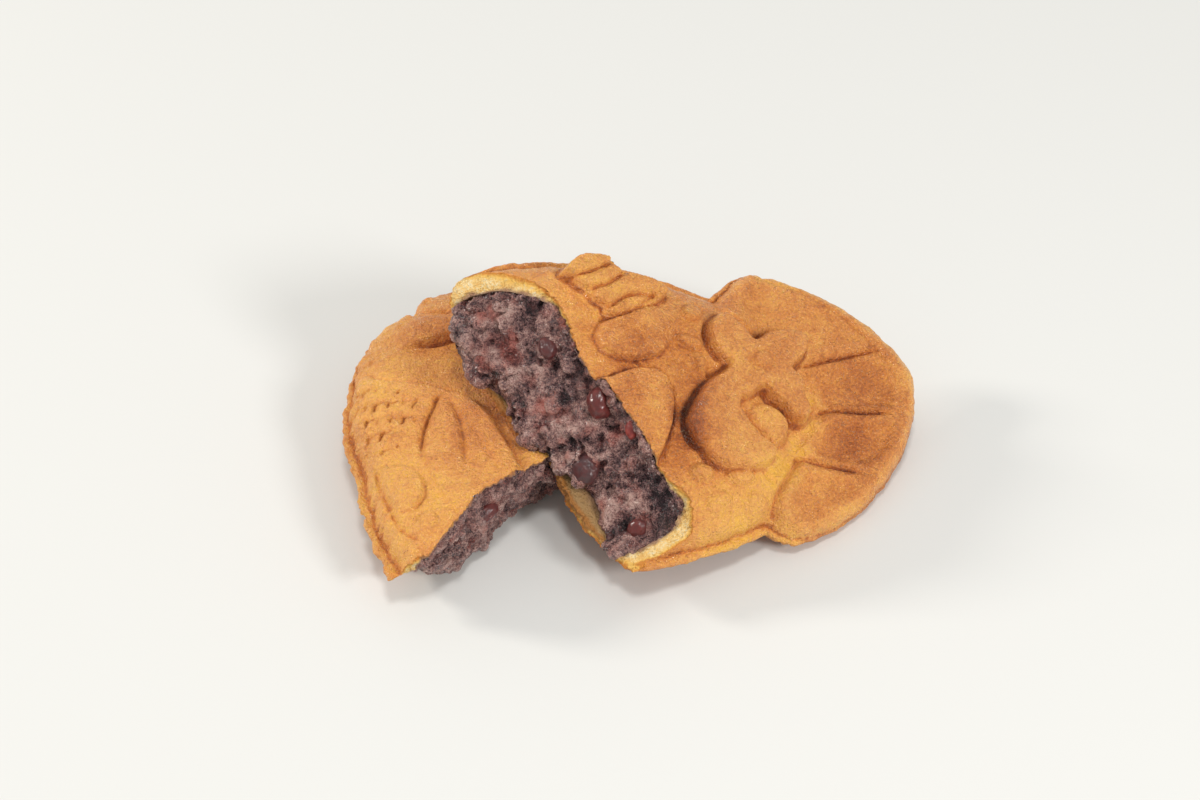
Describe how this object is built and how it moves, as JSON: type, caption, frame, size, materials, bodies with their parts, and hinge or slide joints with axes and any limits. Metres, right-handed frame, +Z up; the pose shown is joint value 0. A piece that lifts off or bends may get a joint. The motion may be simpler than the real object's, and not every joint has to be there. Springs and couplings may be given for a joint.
{
  "type": "taiyaki",
  "caption": "Fish-shaped filled griddle cake broken in two, its tail half leaning on the flat-lying head half, with sweet bean paste showing at both torn faces.",
  "frame": {"origin": "on the table, under the middle of the bounding box of the two halves as they lie", "axes": "+Z up from the table, +X from the head half towards the tail fan as it lies, +Y away from the torn faces"},
  "size_m": [0.1358, 0.095, 0.0486],
  "materials": {
    "browned_crust": "browned batter, satin, finely pored",
    "bean_paste": "moist coarse red bean paste"
  },
  "bodies": {
    "root": {"head_half_crust": "browned_crust", "head_half_bean_paste": "bean_paste", "tail_half_crust": "browned_crust", "tail_half_bean_paste": "bean_paste"}
  },
  "joints": []
}
